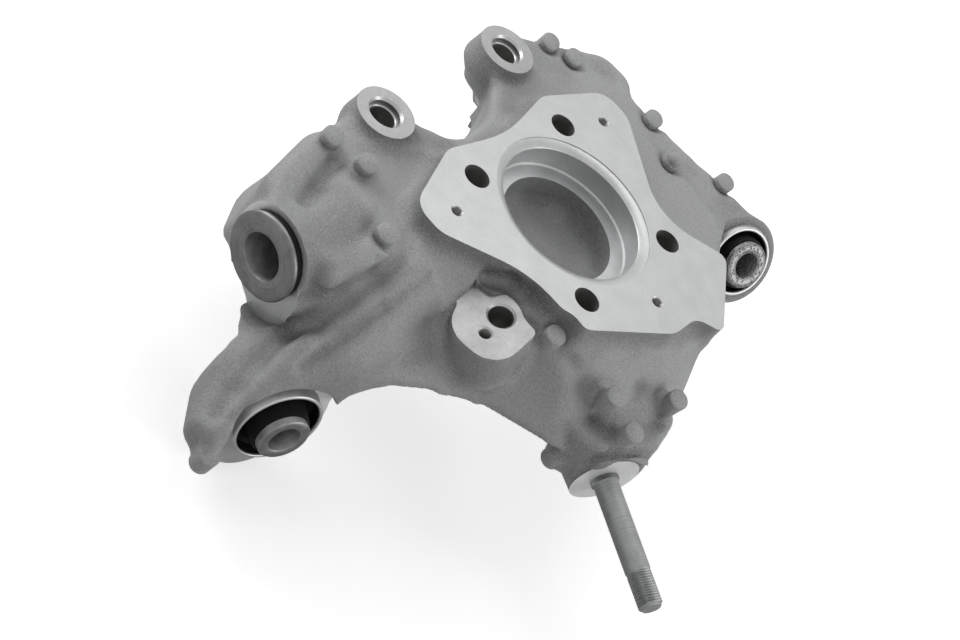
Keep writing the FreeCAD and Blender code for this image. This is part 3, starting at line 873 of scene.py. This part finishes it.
class Finish:
    """A material under construction: helpers that add and wire its nodes."""

    def __init__(self, name, colour, metallic, roughness):
        self.material = bpy.data.materials.new(name)
        self.material.use_nodes = True
        self.tree = self.material.node_tree
        self.shader = self.tree.nodes["Principled BSDF"]
        self.shader.inputs["Base Color"].default_value = (*colour, 1)
        self.shader.inputs["Metallic"].default_value = metallic
        self.shader.inputs["Roughness"].default_value = roughness
        self.place = self.tree.nodes.new("ShaderNodeTexCoord").outputs["Object"]
        self.heights = []

    def node(self, kind, **inputs):
        made = self.tree.nodes.new(kind)
        for name, value in inputs.items():
            self.feed(made.inputs[name.replace("_", " ")], value)
        return made

    def feed(self, socket, value):
        if isinstance(value, bpy.types.NodeSocket):
            self.tree.links.new(value, socket)
        else:
            socket.default_value = value

    def noise(self, size_mm, detail=2.0, rough=0.5):
        """Cloudy noise whose lumps are about a size across."""
        made = self.node("ShaderNodeTexNoise", Scale=1 / (size_mm * MM), Detail=detail, Roughness=rough)
        self.tree.links.new(self.place, made.inputs["Vector"])
        return made.outputs["Fac"]

    def specks(self, size_mm):
        made = self.node("ShaderNodeTexVoronoi", Scale=1 / (size_mm * MM))
        self.tree.links.new(self.place, made.inputs["Vector"])
        return made.outputs["Distance"]

    def mark(self, name):
        """A value that the mesh carries at its points."""
        made = self.tree.nodes.new("ShaderNodeAttribute")
        made.attribute_name = name
        return made.outputs["Fac"]

    def rings(self, size_mm):
        """Fine rings round the axis of a turned piece."""
        made = self.tree.nodes.new("ShaderNodeTexNoise")
        made.noise_dimensions = "1D"
        made.inputs["Scale"].default_value = 1 / size_mm
        made.inputs["Detail"].default_value = 3
        self.tree.links.new(self.mark("reach"), made.inputs["W"])
        return made.outputs["Fac"]

    def spread(self, value, low, high, to_low=0.0, to_high=1.0):
        made = self.node("ShaderNodeMapRange")
        self.feed(made.inputs["Value"], value)
        limits = (("From Min", low), ("From Max", high), ("To Min", to_low), ("To Max", to_high))
        for name, number in limits:
            made.inputs[name].default_value = number
        return made.outputs["Result"]

    def arithmetic(self, operation, a, b):
        made = self.tree.nodes.new("ShaderNodeMath")
        made.operation = operation
        self.feed(made.inputs[0], a)
        self.feed(made.inputs[1], b)
        return made.outputs[0]

    def plus(self, a, b):
        return self.arithmetic("ADD", a, b)

    def times(self, a, b):
        return self.arithmetic("MULTIPLY", a, b)

    def blend(self, share, first, second):
        made = self.tree.nodes.new("ShaderNodeMix")
        made.data_type = "RGBA"
        self.feed(made.inputs[0], share)
        for socket, value in ((made.inputs[6], first), (made.inputs[7], second)):
            self.feed(socket, value if isinstance(value, bpy.types.NodeSocket) else (*value, 1))
        return made.outputs[2]

    def colour(self, value):
        self.feed(self.shader.inputs["Base Color"], value)

    def roughness(self, value):
        self.feed(self.shader.inputs["Roughness"], value)

    def bump(self, height, depth_mm, strength=1.0):
        made = self.node("ShaderNodeBump", Strength=strength, Distance=depth_mm * MM)
        self.feed(made.inputs["Height"], height)
        if self.heights:
            self.tree.links.new(self.heights[-1], made.inputs["Normal"])
        self.heights.append(made.outputs["Normal"])
        self.tree.links.new(made.outputs["Normal"], self.shader.inputs["Normal"])


def cast_aluminium():
    finish = Finish("cast_aluminium", (0.2, 0.2, 0.2), 0.2, 0.55)
    clouds = finish.noise(30, 3, 0.6)
    grain = finish.noise(1.0, 3, 0.85)
    base = finish.blend(finish.spread(clouds, 0.3, 0.7), (0.26, 0.263, 0.26), (0.32, 0.325, 0.326))
    # Painted shade: the casting darkens deep in its valleys and hollows
    valley = finish.times(finish.mark("valley"), 0.75)
    shaded = finish.blend(valley, base, (0.085, 0.085, 0.083))
    # Painted highlight: the casting lightens on its convex edges and small bosses such as pin heads
    ridge = finish.times(finish.mark("ridge"), 0.5)
    painted_highlight = finish.blend(ridge, shaded, (0.46, 0.465, 0.465))
    light = finish.spread(grain, 0.48, 0.62)
    mottled = finish.blend(finish.times(light, 0.4), painted_highlight, (0.56, 0.565, 0.565))
    dark = finish.spread(finish.noise(0.9, 3, 0.85), 0.50, 0.64)
    finish.colour(finish.blend(finish.times(dark, 0.36), mottled, (0.07, 0.07, 0.068)))
    finish.roughness(finish.spread(grain, 0.3, 0.7, 0.46, 0.64))
    finish.bump(finish.noise(6, 2, 0.5), 0.35, 0.6)
    finish.bump(grain, 0.4, 1.0)
    return finish.material


def machined_aluminium(name, dark, light, roughness):
    """Milled or turned aluminium: small specks, faint clouds and fine tool marks."""
    finish = Finish(name, light, 0.45, roughness)
    clouds = finish.noise(14, 4, 0.6)
    base = finish.blend(finish.spread(clouds, 0.3, 0.7), dark, light)
    specks = finish.spread(finish.noise(1.0, 3, 0.85), 0.52, 0.70)
    speck = tuple(0.45 * c for c in dark)
    finish.colour(finish.blend(finish.times(specks, 0.3), base, speck))
    worn = finish.noise(4, 3, 0.6)
    finish.roughness(finish.spread(worn, 0.3, 0.7, roughness - 0.04, roughness + 0.08))
    finish.bump(finish.noise(0.6, 2, 0.6), 0.04, 0.6)
    return finish.material


def steel(name, dark, light, roughness, grain_mm=1.2):
    finish = Finish(name, light, 0.8, roughness)
    patches = finish.noise(7, 4, 0.65)
    rings = finish.spread(finish.rings(0.5), 0.35, 0.65)
    mixed = finish.plus(finish.times(patches, 0.45), finish.times(rings, 0.14))
    finish.colour(finish.blend(finish.spread(mixed, 0.12, 0.46), dark, light))
    finish.roughness(finish.spread(patches, 0.3, 0.7, roughness - 0.06, roughness + 0.1))
    finish.bump(finish.noise(grain_mm, 3, 0.6), 0.05, 0.6)
    return finish


def knurled(finish):
    """Small pressed dots over a steel face, with painted shade in their pits."""
    dots = finish.spread(finish.specks(1.5), 0.2, 0.45)
    finish.bump(dots, 0.25, 1.0)
    old = finish.shader.inputs["Base Color"].links[0].from_socket
    # Painted shade: the dots' pits are darker
    finish.colour(finish.blend(dots, (0.12, 0.12, 0.12), old))
    return finish


def rubber_black():
    finish = Finish("black_rubber", (0.01, 0.01, 0.01), 0.0, 0.6)
    finish.shader.inputs["Specular IOR Level"].default_value = 0.12
    patches = finish.noise(5, 3, 0.6)
    share = finish.spread(patches, 0.35, 0.7)
    finish.colour(finish.blend(share, (0.003, 0.003, 0.003), (0.009, 0.009, 0.009)))
    finish.roughness(finish.spread(patches, 0.3, 0.7, 0.5, 0.7))
    finish.bump(finish.noise(0.8, 3, 0.6), 0.06, 0.5)
    return finish


def edge_round(profile, amounts):
    """Replaces chosen corners of a profile by two points, a small chamfer."""
    rounded_profile = []
    count = len(profile)
    for index, point in enumerate(profile):
        size = amounts.get(index, 0)
        if not size:
            rounded_profile.append(point)
            continue
        here = Vector(point)
        for other in (profile[index - 1], profile[(index + 1) % count]):
            rounded_profile.append(tuple(here + (Vector(other) - here).normalized() * size))
    return rounded_profile


def dress(piece, node, finish):
    """A finer mesh that stands for a CAD node."""
    outward(piece)
    piece.data.materials.append(finish.material)
    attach(piece, "root")
    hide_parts(node)
    crease(piece, 25)
    return piece


def bush_pieces(name, sizes, finishes):
    rim = Vector(sizes["at"]) - unit(sizes["axis"]) * sizes["proud"]
    length = sizes["eye"] + 2 * sizes["stand"]
    inside = sizes["outer"] - sizes["wall"]
    proud = sizes["proud"]
    tube = [(inside, 0), (sizes["outer"], 0), (sizes["outer"], -length), (inside, -length)]
    sleeve_tube = edge_round(tube, {0: 0.4, 1: 0.6, 2: 0.6, 3: 0.4})
    dress(lathe(name + "_outer", rim, sizes["axis"], sleeve_tube, 128),
          name + "_outer_sleeve", finishes["rim"])
    bore, sleeve = sizes["bore"], sizes["sleeve"]
    core = [(bore, proud), (sleeve, proud), (sleeve, -length - proud), (bore, -length - proud)]
    if name == "front_link_bush":
        back = proud - front_washer_thickness
        core[1:2] = [(front_washer_r, proud), (front_washer_r, back), (sleeve, back)]
        core = edge_round(core, {0: 0.5, 1: 0.7, 2: 0.4})
    else:
        core = edge_round(core, {0: 0.6, 1: 0.7, 2: 0.7, 3: 0.6})
    dress(lathe(name + "_inner", rim, sizes["axis"], core, 128),
          name + "_inner_sleeve", finishes.get(name, finishes["sleeve"]))
    far = [
        (inside, 1 - length), (inside - 1, 6 - length), ((sleeve + inside) / 2, 7 - length),
        (sleeve + 2.4, 4 - length), (sleeve + 1, -length - proud / 2), (sleeve, -length - proud / 2),
    ]
    if name == "front_link_bush":
        depth = proud - front_washer_thickness
        near = [(sleeve, depth), (front_collar_r - 0.6, depth), (front_collar_r, depth - 0.6),
                (front_collar_r, 0.4), (front_collar_r - 0.4, 0), (inside, 0)]
    elif name == "rear_link_bush":
        depth = rear_collar_depth
        near = [(sleeve, depth), (rear_collar_r - 1, depth), (rear_collar_r, depth - 1),
                (rear_collar_r, 0.4), (rear_collar_r - 0.4, 0), (inside, 0)]
    else:
        near = [(sleeve, proud / 2), (sleeve + 0.7, proud / 2), (sleeve + 1.2, proud / 2 - 0.8),
                (sleeve + 2.6, -4.5), ((sleeve + inside) / 2 + 0.5, -7), (inside - 0.8, -6), (inside, -1)]
    dress(lathe(name + "_bonded", rim, sizes["axis"], near + far, 128),
          name + "_rubber", finishes["rubber"])


def stud_piece(finish):
    """Link stud with a knurled neck and a rolled thread."""
    tip = stud_length
    thread_from = tip - stud_thread_length
    pitch = stud_thread_pitch
    steps = 8

    def surface(radius, along, angle):
        if 0 < along < 2.0 and radius > stud_r:
            return radius + 0.4 * math.cos(44 * angle)
        if thread_from + 0.6 < along < tip - 0.4 and radius > 4.6:
            phase = (along / pitch - angle / (2 * math.pi)) % 1
            return radius - 0.72 * abs(2 * phase - 1)
        return radius

    profile = [(0, tip), (4.4, tip), (5.1, tip - 0.5), (stud_r - 0.3, tip - 1.2)]
    rows = int((stud_thread_length - 1.6) / pitch * steps)
    for row in range(1, rows):
        profile.append((stud_r - 0.1, tip - 1.2 - row * pitch / steps))
    profile += [(stud_r - 0.35, thread_from), (stud_r, thread_from - 0.8), (stud_r, 3.2),
                (stud_r + 0.1, 2.7), (stud_neck_r, 1.9), (stud_neck_r, 0.1), (stud_neck_r, -stud_boss_length),
                (9.5, -stud_boss_length), (9.5, -stud_boss_length - 4.2), (8.7, -stud_boss_length - 5),
                (0, -stud_boss_length - 5)]
    piece = lathe("stud", stud_at, stud_axis, profile, 176, surface)
    return dress(piece, "link_stud", finish)


def camera():
    data = bpy.data.cameras.new("camera")
    data.sensor_width = sensor_width
    data.lens = focal_length
    data.clip_start = 0.05
    data.clip_end = 20
    piece = bpy.data.objects.new("camera", data)
    turn = Matrix((camera_right, camera_up, camera_back)).transposed()
    piece.matrix_world = Matrix.Translation(camera_at * MM) @ turn.to_4x4()
    bpy.context.scene.collection.objects.link(piece)
    bpy.context.scene.camera = piece


def area_light(name, place, target, size, power):
    data = bpy.data.lights.new(name, "AREA")
    data.shape = "RECTANGLE"
    data.size, data.size_y = size
    data.energy = power
    lamp = bpy.data.objects.new(name, data)
    lamp.location = place
    lamp.rotation_mode = "QUATERNION"
    lamp.rotation_quaternion = (Vector(place) - Vector(target)).to_track_quat("Z", "Y")
    bpy.context.scene.collection.objects.link(lamp)


def studio():
    """Plain soft light, a pale floor and a white surround."""
    world = bpy.data.worlds.new("surround")
    bpy.context.scene.world = world
    world.use_nodes = True
    tree = world.node_tree
    background = tree.nodes["Background"]
    background.inputs["Color"].default_value = (1, 1, 1, 1)
    rays = tree.nodes.new("ShaderNodeLightPath")
    seen = tree.nodes.new("ShaderNodeMath")
    seen.operation = "MAXIMUM"
    shine = tree.nodes.new("ShaderNodeMath")
    shine.operation = "MAXIMUM"
    tree.links.new(rays.outputs["Is Glossy Ray"], shine.inputs[0])
    tree.links.new(rays.outputs["Is Transmission Ray"], shine.inputs[1])
    tree.links.new(rays.outputs["Is Camera Ray"], seen.inputs[0])
    tree.links.new(shine.outputs[0], seen.inputs[1])
    strength = tree.nodes.new("ShaderNodeMapRange")
    strength.inputs["To Min"].default_value = 0.24
    strength.inputs["To Max"].default_value = 1.0
    tree.links.new(seen.outputs[0], strength.inputs["Value"])
    tree.links.new(strength.outputs["Result"], background.inputs["Strength"])
    middle = (cad_low + cad_high) / 2
    area_light("key", (middle.x - 0.35, middle.y + 0.55, 1.1), middle, (1.0, 0.8), 4.2)
    area_light("side", (middle.x - 1.0, middle.y + 0.05, 0.4), middle, (0.6, 0.5), 4.8)
    area_light("fill", (middle.x + 0.95, middle.y + 0.3, 0.35), middle, (0.6, 0.5), 3.6)
    reach = 3.0
    level = cad_low.z - 0.0004
    corners = [
        (-reach, -reach, level), (reach, -reach, level), (reach, reach, level), (-reach, reach, level)]
    mesh = bpy.data.meshes.new("floor")
    mesh.from_pydata(corners, [], [(0, 1, 2, 3)])
    floor = bpy.data.objects.new("floor", mesh)
    bpy.context.scene.collection.objects.link(floor)
    finish = Finish("floor", (0.9, 0.9, 0.9), 0.0, 0.9)
    shader = finish.shader
    shader.inputs["Emission Color"].default_value = (1, 1, 1, 1)
    rays = finish.tree.nodes.new("ShaderNodeLightPath")
    glow = finish.times(rays.outputs["Is Camera Ray"], 0.55)
    finish.feed(shader.inputs["Emission Strength"], glow)
    mesh.materials.append(finish.material)


bpy.context.scene.view_settings.view_transform = "Standard"
camera()
studio()
casting = machined_casting([
    cast_aluminium(),
    machined_aluminium("milled_aluminium", (0.50, 0.506, 0.51), (0.57, 0.576, 0.58), 0.34),
    # Hole walls: painted shade, much darker than the milled faces
    machined_aluminium("bore_painted_shade", (0.17, 0.167, 0.158), (0.33, 0.328, 0.32), 0.36),
    machined_aluminium("turned_aluminium", (0.34, 0.343, 0.342), (0.44, 0.443, 0.442), 0.36),
    # Faces round the bushes and the stud: painted highlight, far lighter than the milled faces
    machined_aluminium("faced_painted_highlight", (0.82, 0.825, 0.825), (0.90, 0.905, 0.905), 0.36),
])
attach(casting, "root")
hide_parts("knuckle_casting")
finishes = {
    "rim": steel("sleeve_rim", (0.42, 0.425, 0.425), (0.60, 0.605, 0.605), 0.42),
    "sleeve": steel("sleeve_steel", (0.12, 0.12, 0.12), (0.32, 0.32, 0.32), 0.42),
    "upper_link_bush": knurled(steel("knurled_steel", (0.15, 0.15, 0.15), (0.34, 0.34, 0.34), 0.42)),
    "rubber": rubber_black(),
}
for name, sizes in bushes.items():
    bush_pieces(name, sizes, finishes)
stud_piece(steel("zinc_plated", (0.20, 0.205, 0.205), (0.38, 0.385, 0.385), 0.46, 1.6))
